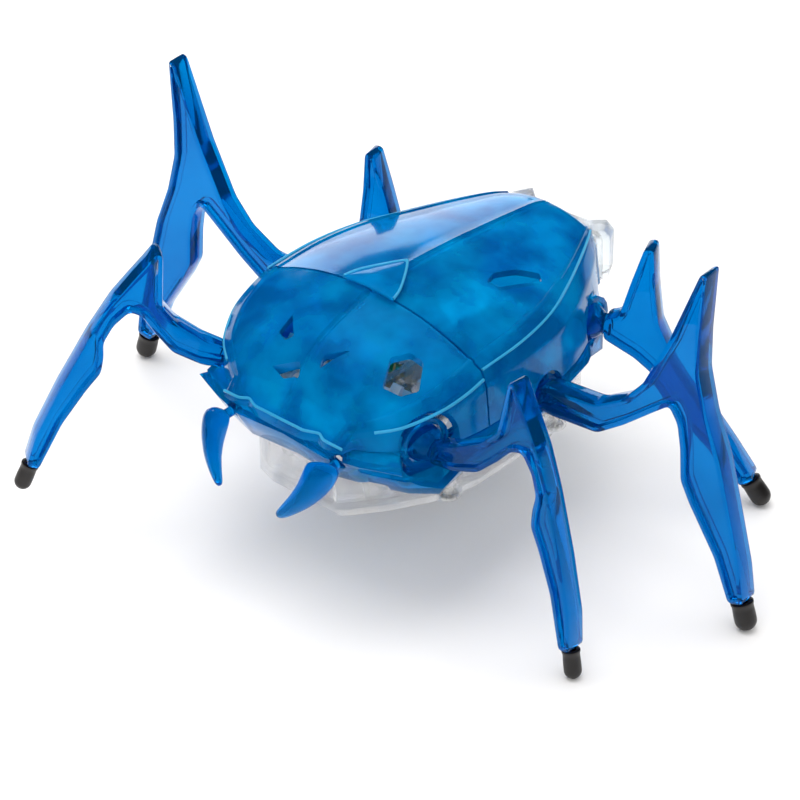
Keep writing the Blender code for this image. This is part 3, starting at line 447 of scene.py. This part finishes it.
def softened(points, cut):
    """A closed outline of straight sides whose corners are rounded a little."""
    steps = 3
    vectors = [Vector(point) for point in points]
    count = len(vectors)
    result = []
    for i, corner in enumerate(vectors):
        before, after = vectors[i - 1] - corner, vectors[(i + 1) % count] - corner
        start = corner + before.normalized() * min(cut, before.length * 0.4)
        finish = corner + after.normalized() * min(cut, after.length * 0.4)
        for k in range(steps + 1):
            t = k / steps
            result.append(start * (1 - t) ** 2 + corner * (2 * t * (1 - t)) + finish * t ** 2)
    return result


def normals_of(outline):
    """The inward direction at each point of a closed outline."""
    count = len(outline)
    area = sum(outline[i - 1].x * outline[i].y - outline[i].x * outline[i - 1].y for i in range(count))
    sign = 1 if area > 0 else -1
    inward = []
    for i in range(count):
        along = (outline[(i + 1) % count] - outline[i - 1]).normalized()
        inward.append(Vector((-along.y, along.x)) * sign)
    return inward


def room_inside(outline, inward, i):
    """How far it is from a point of the outline straight across to the other side."""
    start, step = outline[i], inward[i]
    nearest = math.inf
    count = len(outline)
    for j in range(count):
        if (j - i) % count in (0, 1, count - 1, count - 2):
            continue
        a, b = outline[j] - start, outline[(j + 1) % count] - outline[j]
        cross = step.x * b.y - step.y * b.x
        if abs(cross) < 1e-9:
            continue
        reach = (a.x * b.y - a.y * b.x) / cross
        share = (a.x * step.y - a.y * step.x) / cross
        if reach > 0.05 and 0 <= share <= 1:
            nearest = min(nearest, reach)
    return nearest


def inset(outline, distance):
    """The outline moved inwards, by less where the shape is narrow."""
    inward = normals_of(outline)
    return [point + inward[i] * min(distance, 0.36 * room_inside(outline, inward, i))
            for i, point in enumerate(outline)]


# ---- Legs -----------------------------------------------------------------------------------------------

def direction(side, swing, lift):
    """Out from a ball joint, swung forward and lifted by angles in degrees."""
    swing, lift = math.radians(swing), math.radians(lift)
    flat = math.cos(lift)
    return Vector((side * flat * math.cos(swing), -flat * math.sin(swing), math.sin(lift)))


def rest_frame(leg, side):
    """The leg's own axes at rest: along the slanted pin, out in the blade's plane, and up."""
    swing, lift = leg[side]
    pin = direction(side, swing, lift)
    turn = Matrix.Rotation(math.radians(-swing), 3, "Z") @ Matrix.Rotation(math.radians(-lift), 3, "Y")
    mirror = Matrix.Diagonal((side, 1, 1))
    toe = math.radians(leg["toe_in"])
    out = mirror @ turn @ Vector((math.cos(toe), -math.sin(toe), 0))
    up = mirror @ turn @ Vector((0, 0, 1))
    return pin, out, up


def ball_centre(leg, side):
    """The centre of the leg's ball joint."""
    x, y, z = leg["ball"]
    return Vector((side * x, y, z))


def foot_drop(leg, reach):
    """How far below the ball the boot's round end lies, so that the left leg stands on the ground."""
    _, out, up = rest_frame(leg, 1)
    return (BOOT_R - leg["ball"][2] - reach * out.z) / up.z


def pin_tilt(leg):
    """The angle between a crank pin and its gear's axis."""
    swing, lift = leg[1]
    return math.acos(math.cos(math.radians(swing)) * math.cos(math.radians(lift)))


def leg_blade(outline, to_world):
    """A blade with rounded edges and a raised rim round a thinner web, on both faces."""
    web = inset(outline, LEG_RIM + LEG_SLOPE)
    layers = [(outline, LEG_HALF - LEG_BEVEL),
              (inset(outline, LEG_BEVEL * 0.3), LEG_HALF - LEG_BEVEL * 0.3),
              (inset(outline, LEG_BEVEL), LEG_HALF),
              (inset(outline, LEG_RIM), LEG_HALF),
              (web, LEG_HALF - LEG_RECESS)]
    rings = [(ring, -half) for ring, half in reversed(layers)] + layers
    bm = bmesh.new()
    loops = [[bm.verts.new(to_world(point, height)) for point in ring] for ring, height in rings]
    count = len(outline)
    for lower, upper in zip(loops, loops[1:]):
        for i in range(count):
            j = (i + 1) % count
            bm.faces.new((lower[i], lower[j], upper[j], upper[i]))
    for a, b, c in tessellate_polygon([[Vector((*point, 0)) for point in web]]):
        bm.faces.new((loops[0][a], loops[0][b], loops[0][c]))
        bm.faces.new((loops[-1][c], loops[-1][b], loops[-1][a]))
    bmesh.ops.recalc_face_normals(bm, faces=bm.faces)
    return bm


def make_leg(where, side_name, leg, side, top, under, reach):
    """One leg with its ball and socket, and its boot."""
    name = f"leg_{where}_{side_name}"
    centre = ball_centre(leg, side)
    pin, out, up = rest_frame(leg, side)
    across = out.cross(up) * side
    end = Vector((reach, foot_drop(leg, reach)))
    along = (end - (Vector(top[-1]) + Vector(under[0])) / 2).normalized()
    square = Vector((-along.y, along.x))
    ankle = end - along * (BOOT_LENGTH - BOOT_R + SHIN_PLAY)
    half = BOOT_R_AT[where] - SHIN_TUCK
    corners = top + [tuple(ankle + square * half), tuple(ankle - square * half)] + under
    outline = softened(corners, LEG_CORNER)
    blade = leg_blade(outline, lambda point, h: centre + out * point.x + up * point.y + across * h)
    obj = place(blade, f"{name}_blade", LEG_BLUE)
    combine(obj, ball(centre, BALL_R), "UNION")
    socket = (leg["ball"][0] - DISC_OUTER_X) / math.cos(pin_tilt(leg)) - SOCKET_R * math.tan(pin_tilt(leg))
    combine(obj, rod(centre, centre - pin * (socket - SOCKET_PLAY), SOCKET_R), "UNION")
    combine(obj, rod(centre - pin * BORE_START, centre - pin * (socket + BORE_PAST), BORE_R), "DIFFERENCE")
    combine(obj, rod(centre, centre + out * ARM_ROOT_LENGTH, ARM_ROOT_R), "UNION")
    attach(obj, name)
    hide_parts(name)
    make_boot(where, side_name, centre + out * end.x + up * end.y, out * along.x + up * along.y)


def make_boot(where, side_name, end, along):
    """A round-ended rubber boot with a rolled lip at its mouth."""
    length = BOOT_LENGTH - BOOT_R
    wide = BOOT_R_AT[where]
    low = BOOT_R - wide
    profile = [(wide * math.sin(math.radians(a)), -wide * math.cos(math.radians(a)) - low)
               for a in range(0, 91, 10)]
    profile += [(wide, 0.8), (wide - 0.04, length * 0.6), (wide - 0.04, length - 0.55),
                (wide + 0.05, length - 0.4), (wide + 0.05, length - 0.12), (wide - 0.1, length),
                (wide * 0.66, length), (wide * 0.66, length - 1.0), (0, length - 1.0)]
    bm = lathe(profile, BOOT_SIDES)
    turn = (-along).to_track_quat("Z", "Y").to_matrix().to_4x4()
    bm.transform(Matrix.Translation(end) @ turn)
    name = f"boot_{where}_{side_name}"
    obj = place(bm, f"{name}_rubber", RUBBER, f"leg_{where}_{side_name}")
    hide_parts(name)


def lathe(profile, steps):
    """A profile of radius and height, turned round the upright axis. Its ends lie on the axis."""
    bm = bmesh.new()
    rings = []
    for radius, height in profile:
        if radius < 0.001:
            rings.append([bm.verts.new((0, 0, height))])
            continue
        angles = [math.tau * i / steps for i in range(steps)]
        rings.append([bm.verts.new((radius * math.cos(a), radius * math.sin(a), height)) for a in angles])
    for low, high in zip(rings, rings[1:]):
        for i in range(steps):
            j = (i + 1) % steps
            if len(low) == 1:
                bm.faces.new((low[0], high[j], high[i]))
            elif len(high) == 1:
                bm.faces.new((low[i], low[j], high[0]))
            else:
                bm.faces.new((low[i], low[j], high[j], high[i]))
    bmesh.ops.recalc_face_normals(bm, faces=bm.faces)
    return bm


def make_legs():
    """The six legs and boots."""
    kinds = (("front", FRONT, FRONT_OUTLINE, FRONT_UNDERSIDE, FRONT_FOOT),
             ("middle", MIDDLE, MIDDLE_OUTLINE, MIDDLE_UNDERSIDE, MIDDLE_FOOT),
             ("rear", REAR, REAR_OUTLINE, REAR_UNDERSIDE, REAR_FOOT))
    for where, leg, top, under, reach in kinds:
        for side_name, side in SIDES:
            make_leg(where, side_name, leg, side, top, under, reach)


# ---- Shells ---------------------------------------------------------------------------------------------

def shell_row(y, half_width, edge_z, middle_z, skirt):
    """Points across a shell: seam groove, dome, raised line, edge, slanting band, and skirt to the rim."""
    half = []
    for t, lift in ACROSS:
        half.append((half_width * t, y, middle_z - (middle_z - edge_z) * t ** DOME_POWER + lift))
    for share, down in BAND_AND_SKIRT:
        half.append((half_width + (skirt - half_width) * share, y, edge_z - (edge_z - RIM_Z) * down))
    return half


def shell_surface(stations, front=(), back=()):
    """A smooth open sheet through the shell's stations, closed down at one end."""
    rows = [*front, *(shell_row(*row) for row in rounded(stations, STATION_STEPS)), *back]
    bm = bmesh.new()
    grid = []
    for row in rows:
        right = [bm.verts.new((-x, y, z)) for x, y, z in reversed(row[1:])]
        left = [bm.verts.new(point) for point in row]
        grid.append(right + left)
    for near, far in zip(grid, grid[1:]):
        for i in range(len(near) - 1):
            bm.faces.new((near[i], near[i + 1], far[i + 1], far[i]))
    bmesh.ops.recalc_face_normals(bm, faces=bm.faces)
    if sum(face.normal.z for face in bm.faces) < 0:
        bmesh.ops.reverse_faces(bm, faces=bm.faces)
    return bm


def place_sheet(bm, name, material):
    """An open sheet given its wall, grown inwards."""
    obj = new_object(bm, name, material)
    modifier = obj.modifiers.new("wall", "SOLIDIFY")
    modifier.thickness = SHELL_THICK * MM
    modifier.offset = -1.0
    modifier.use_even_offset = False
    apply_modifiers(obj)
    return obj


def cut_leg_opening(shell, leg, side):
    """Cuts a shell free of a leg's ball, its lug and its swinging arm."""
    centre = ball_centre(leg, side)
    out = direction(side, leg["toe_in"], 0)
    axis = direction(side, leg["toe_in"], FRONT_PORT_RISE if leg is FRONT else PORT_RISE)
    spread = math.tan(pin_tilt(leg) + math.radians(PORT_PLAY_ANGLE))
    half = direction(side, leg["toe_in"] / 2, 0)
    passage = rod(centre - out * PASSAGE_IN, centre + out * PASSAGE_OUT, BALL_R + PASSAGE_PLAY)
    port = rod(centre + axis * PORT_START, centre + axis * PORT_END, PORT_START_R + PORT_START * spread,
               PORT_END_R + PORT_END * spread)
    for tool in (passage, port, rod(centre - half, centre + half, LUG_ROOM_R)):
        combine(shell, tool, "DIFFERENCE")


def window(outline, low, high):
    """An upright prism over a plan outline."""
    points = softened(outline, WINDOW_CORNER)
    return loft([[(point.x, point.y, z) for point in points] for z in (low, high)])


def make_head():
    """The head shield: a dome with a slanting band round its front, and angular windows."""
    base = shell_row(*HEAD_STATIONS[0])
    front = []
    for forward, drop, shrink in HEAD_FRONT:
        row = []
        for x, y, z in base:
            bulge = forward * fullness(x / base[-1][0]) - notch(x) * (drop > NOTCHED_BELOW)
            row.append((x * shrink, y - bulge, z - (z - RIM_Z) * drop))
        front.append(row)
    obj = place_sheet(shell_surface(HEAD_STATIONS, front=front), "head_shield_dome", SHELL_BLUE)
    for _, side in SIDES:
        cut_leg_opening(obj, FRONT, side)
    for outline in HEAD_WINDOWS:
        combine(obj, window(outline, *HEAD_WINDOW_Z), "DIFFERENCE")
    finish_fixed(obj, "head_shield")


def make_bead(points, radius, name, node):
    """A thin raised bead along a path, in a paler blue that is a painted highlight line."""
    data = bpy.data.curves.new(name, "CURVE")
    data.dimensions = "3D"
    data.bevel_depth = radius * MM
    data.bevel_resolution = 3
    data.use_fill_caps = True
    spline = data.splines.new("POLY")
    path = rounded(points, BEAD_STEPS)
    spline.points.add(len(path) - 1)
    for target, point in zip(spline.points, path):
        target.co = (point.x * MM, (point.y + BODY_Y) * MM, point.z * MM, 1.0)
    curve = bpy.data.objects.new(name, data)
    bpy.context.scene.collection.objects.link(curve)
    bpy.context.view_layer.update()
    mesh = bpy.data.meshes.new_from_object(curve.evaluated_get(bpy.context.evaluated_depsgraph_get()))
    bpy.data.objects.remove(curve)
    mesh.shade_smooth()
    mesh.materials.clear()
    # Paler blue: a painted highlight line along the edge.
    mesh.materials.append(PAINTED_HIGHLIGHT_BLUE)
    obj = bpy.data.objects.new(name, mesh)
    bpy.context.scene.collection.objects.link(obj)
    finish_fixed(obj, node)


def make_beads():
    """The raised beads, in a paler blue that is a painted highlight line: round the brim, along each
    shell's upper edge, and round the shoulder plate.
    """
    y, _, edge_z, middle_z, _ = HEAD_STATIONS[0]
    brim = []
    for k in range(-10, 11):
        x = k / 10 * BRIM_HALF_WIDTH
        bulge = BRIM_BEAD_FORWARD * fullness(k / 10) - notch(x)
        top = middle_z - (middle_z - edge_z) * (abs(k) / 10) ** DOME_POWER
        brim.append((x * BRIM_BEAD_WIDTH, y - bulge, top - (top - RIM_Z) * BRIM_BEAD_DOWN))
    make_bead(brim, BRIM_BEAD, "head_brim_highlight_bead", "head_shield")
    for side_name, side in SIDES:
        edge = [(side * (w + (skirt - w) * SIDE_BEAD_OUT), y, e - (e - RIM_Z) * SIDE_BEAD_DOWN)
                for y, w, e, _, skirt in HEAD_STATIONS[1:]]
        make_bead(edge, SIDE_BEAD, f"head_side_bead_{side_name}", "head_shield")
        edge = [(side * w, y, e + WING_BEAD_UP) for y, w, e, _, _ in WING_STATIONS]
        make_bead(edge, BEAD, f"wing_edge_bead_{side_name}", "wing_covers")
    make_bead(PLATE_BEAD, BEAD, "shoulder_plate_highlight_bead", "shoulder_plate")


def fullness(share):
    """How far the brim comes forward at a share of its half width, against its middle."""
    return 1 - BRIM_FULLNESS * share ** 2


def notch(x):
    """How far the brim is drawn back at two shallow notches in its front."""
    return NOTCH_DEPTH * max(0.0, 1 - abs(abs(x) - NOTCH_X) / NOTCH_HALF)


def make_wings():
    """The wing covers, with the seam down their middle and a window on the left."""
    last = shell_row(*WING_STATIONS[-1])
    back = [[(x * shrink, y + past, z - (z - RIM_Z) * drop) for x, y, z in last]
            for shrink, past, drop in WING_BACK]
    obj = place_sheet(shell_surface(WING_STATIONS, back=back), "wing_covers_dome", SHELL_BLUE)
    for _, side in SIDES:
        cut_leg_opening(obj, MIDDLE, side)
        cut_leg_opening(obj, REAR, side)
    for outline in WING_WINDOWS:
        combine(obj, window(outline, *WING_WINDOW_Z), "DIFFERENCE")
    finish_fixed(obj, "wing_covers")


def finish_fixed(obj, node):
    """A piece of the body stands for its CAD node."""
    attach(obj, "chassis")
    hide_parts(node)


# ---- Body pieces made finer from the CAD's own shapes ----------------------------------------------------

def finer(node_name, material, width, cuts=()):
    """A CAD piece's shape with its flat faces cleaned up, details cut, and its edges rounded."""
    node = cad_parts[node_name]
    bm = bmesh.new()
    bm.from_mesh(node.data)
    bm.transform(Matrix.Translation((0, -BODY_Y, 0)) @ Matrix.Scale(1 / MM, 4) @ node.matrix_world)
    bmesh.ops.remove_doubles(bm, verts=bm.verts, dist=WELD)
    obj = place(bm, f"{node_name}_fine", material)
    for tool in cuts:
        combine(obj, tool, "DIFFERENCE")
    clean = obj.modifiers.new("clean", "DECIMATE")
    clean.decimate_type = "DISSOLVE"
    clean.angle_limit = math.radians(FLAT_ANGLE)
    soft = obj.modifiers.new("soft", "BEVEL")
    soft.width = width * MM
    soft.segments = 2
    soft.limit_method = "ANGLE"
    soft.angle_limit = math.radians(CREASE_ANGLE)
    soft.use_clamp_overlap = True
    apply_modifiers(obj)
    finish_fixed(obj, node_name)


def capsule(start, end, radius):
    """A rod with round ends, as one closed solid."""
    start, end = Vector(start), Vector(end)
    along = (end - start).normalized()
    length = (end - start).length
    steps = range(0, 91, 15)
    profile = [(radius * math.sin(math.radians(a)), -radius * math.cos(math.radians(a))) for a in steps]
    profile += [(radius * math.cos(math.radians(a)), length + radius * math.sin(math.radians(a)))
                for a in steps]
    bm = lathe(profile, 24)
    bm.transform(Matrix.Translation(start) @ along.to_track_quat("Z", "Y").to_matrix().to_4x4())
    return bm


def frame_cuts():
    """Slots through the frame's front corners, and the steps along its lower edge."""
    cuts = []
    for _, side in SIDES:
        cuts.append(capsule(*mirrored(SLOT, side), SLOT_R))
        for corners in FRAME_STEPS:
            cuts.append(box(*ordered(*mirrored(corners, side))))
    return cuts


def mirrored(points, side):
    """Points of the left side, taken to the given side."""
    return [(side * x, y, z) for x, y, z in points]


def ordered(one, other):
    """The low and the high corner of a box."""
    return tuple(map(min, one, other)), tuple(map(max, one, other))


def make_body_pieces():
    """The frame, tray, tail, jaws and small outer pieces."""
    finer("middle_frame", FRAME_BLUE, 0.25, cuts=frame_cuts())
    finer("belly_tray", CLEAR, 0.25)
    finer("tail_shell", CLEAR_TAIL, 0.2)
    finer("battery_door", CLEAR, 0.15)
    finer("nose_peg", FRAME_BLUE, 0.2)
    finer("shoulder_plate", SHELL_BLUE, 0.2)
    make_jaws()


def make_jaws():
    """Two hooked jaws, flattened and narrowing to a round tip."""
    for side_name, side in SIDES:
        rings = []
        path = [(Vector((side * x, y, z)), size) for x, y, z, size in JAW_PATH]
        for i, (centre, size) in enumerate(path):
            before, after = path[max(i - 1, 0)][0], path[min(i + 1, len(path) - 1)][0]
            along = (after - before).normalized()
            across = along.cross(Vector((side, -0.35, 0.2))).normalized()
            over = across.cross(along)
            ring = []
            for k in range(JAW_SIDES):
                turn = math.tau * k / JAW_SIDES
                ring.append(centre + across * size * math.cos(turn)
                            + over * size * JAW_FLATNESS * math.sin(turn))
            rings.append(ring)
        bm = loft(rings)
        bmesh.ops.recalc_face_normals(bm, faces=bm.faces)
        obj = place(bm, f"jaw_{side_name}_hook", LEG_BLUE)
        soft = obj.modifiers.new("soft", "SUBSURF")
        soft.levels = 1
        soft.render_levels = 1
        apply_modifiers(obj)
        combine(obj, rod(*mirrored(JAW_PEG, side), JAW_PEG_R), "UNION")
        finish_fixed(obj, f"jaw_{side_name}")


# ---- Carried-over CAD pieces ----------------------------------------------------------------------------

CAD_LOOKS = {
    CLEAR: ("gear_plate",),
    BRASS: ("motor_pinion", "battery_contact"),
    BOARD: ("circuit_board",),
    BLACK: ("switch",),
    GEAR_WHITE: ("motor_end_cap", "final_gear", "compound_gear", "crank", "idler_front", "idler_rear"),
}


def dress_cad():
    """Gives each CAD piece its material: what its name starts with says which, and the rest are steel."""
    for name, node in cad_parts.items():
        looks = [look for look, starts in CAD_LOOKS.items() if name.startswith(starts)]
        node.data.materials.clear()
        node.data.materials.append(looks[0] if looks else STEEL)


# ---- Stage ----------------------------------------------------------------------------------------------

def make_floor():
    """A wide, plain, pale floor."""
    bm = bmesh.new()
    bmesh.ops.create_grid(bm, x_segments=8, y_segments=8, size=4.0)
    mesh = bpy.data.meshes.new("floor")
    bm.to_mesh(mesh)
    bm.free()
    mat, tree, shader, _ = new_material("floor_paper")
    place_node = vary_colour(tree, shader, (0.86, 0.85, 0.842), (0.89, 0.88, 0.872), 6.0)
    vary_surface(tree, shader, place_node, 400.0, 0.6, 0.75, 0.05)
    mesh.materials.append(mat)
    floor = bpy.data.objects.new("floor", mesh)
    bpy.context.scene.collection.objects.link(floor)


def add_light(name, place_at, target, size, power, glossy=True):
    """A square soft light aimed at a point."""
    lamp = bpy.data.lights.new(name, "AREA")
    lamp.shape = "SQUARE"
    lamp.size = size
    lamp.energy = power
    obj = bpy.data.objects.new(name, lamp)
    obj.location = place_at
    obj.rotation_euler = (Vector(target) - Vector(place_at)).to_track_quat("-Z", "Y").to_euler()
    obj.visible_glossy = glossy
    bpy.context.scene.collection.objects.link(obj)


def light_scene():
    """A bright white room, which gives no reflections, with a soft light above and two weaker panels."""
    world = bpy.data.worlds.new("studio")
    world.use_nodes = True
    world.node_tree.nodes["Background"].inputs["Color"].default_value = (1.0, 1.0, 1.0, 1.0)
    world.node_tree.nodes["Background"].inputs["Strength"].default_value = 0.98
    bpy.context.scene.world = world
    world.cycles_visibility.glossy = False
    bpy.context.scene.view_settings.view_transform = "Standard"
    centre = (0, 0, 0.02)
    add_light("overhead", (-0.15, 0.0, 0.8), centre, 0.6, 3.6, glossy=False)
    add_light("back_panel", (-0.75, 0.65, 0.16), centre, 0.5, 1.7)
    add_light("front_fill", (0.3, -0.7, 0.5), centre, 0.4, 0.8)


# Camera: fitted to the photographed view, looking down and from the robot's front left
CAMERA_AZIMUTH = 41.65
CAMERA_ELEVATION = 33.75
CAMERA_ROLL = 0.24
CAMERA_DISTANCE = 0.500
CAMERA_LENS = 161.0
CAMERA_OFFSET = (4.55, 4.87)
CAMERA_AIM_Z = 20.0


def add_camera():
    """The camera at the photographed angle."""
    azimuth, elevation = math.radians(CAMERA_AZIMUTH), math.radians(CAMERA_ELEVATION)
    back = Vector((math.sin(azimuth) * math.cos(elevation), -math.cos(azimuth) * math.cos(elevation),
                   math.sin(elevation)))
    right = Vector((0, 0, 1)).cross(back).normalized()
    up = back.cross(right)
    aim = Vector((0, BODY_Y, CAMERA_AIM_Z)) * MM
    data = bpy.data.cameras.new("camera")
    data.lens = CAMERA_LENS
    data.sensor_width = 36.0
    camera = bpy.data.objects.new("camera", data)
    camera.location = (aim + back * CAMERA_DISTANCE - right * CAMERA_OFFSET[0] * MM
                       - up * CAMERA_OFFSET[1] * MM)
    turn = Matrix((right, up, back)).transposed()
    camera.rotation_euler = (turn @ Matrix.Rotation(math.radians(-CAMERA_ROLL), 3, "Z")).to_euler()
    bpy.context.scene.collection.objects.link(camera)
    bpy.context.scene.camera = camera


def main():
    """Builds every piece, the stage and the camera."""
    dress_cad()
    make_legs()
    make_head()
    make_wings()
    make_beads()
    make_body_pieces()
    make_floor()
    light_scene()
    add_camera()


main()
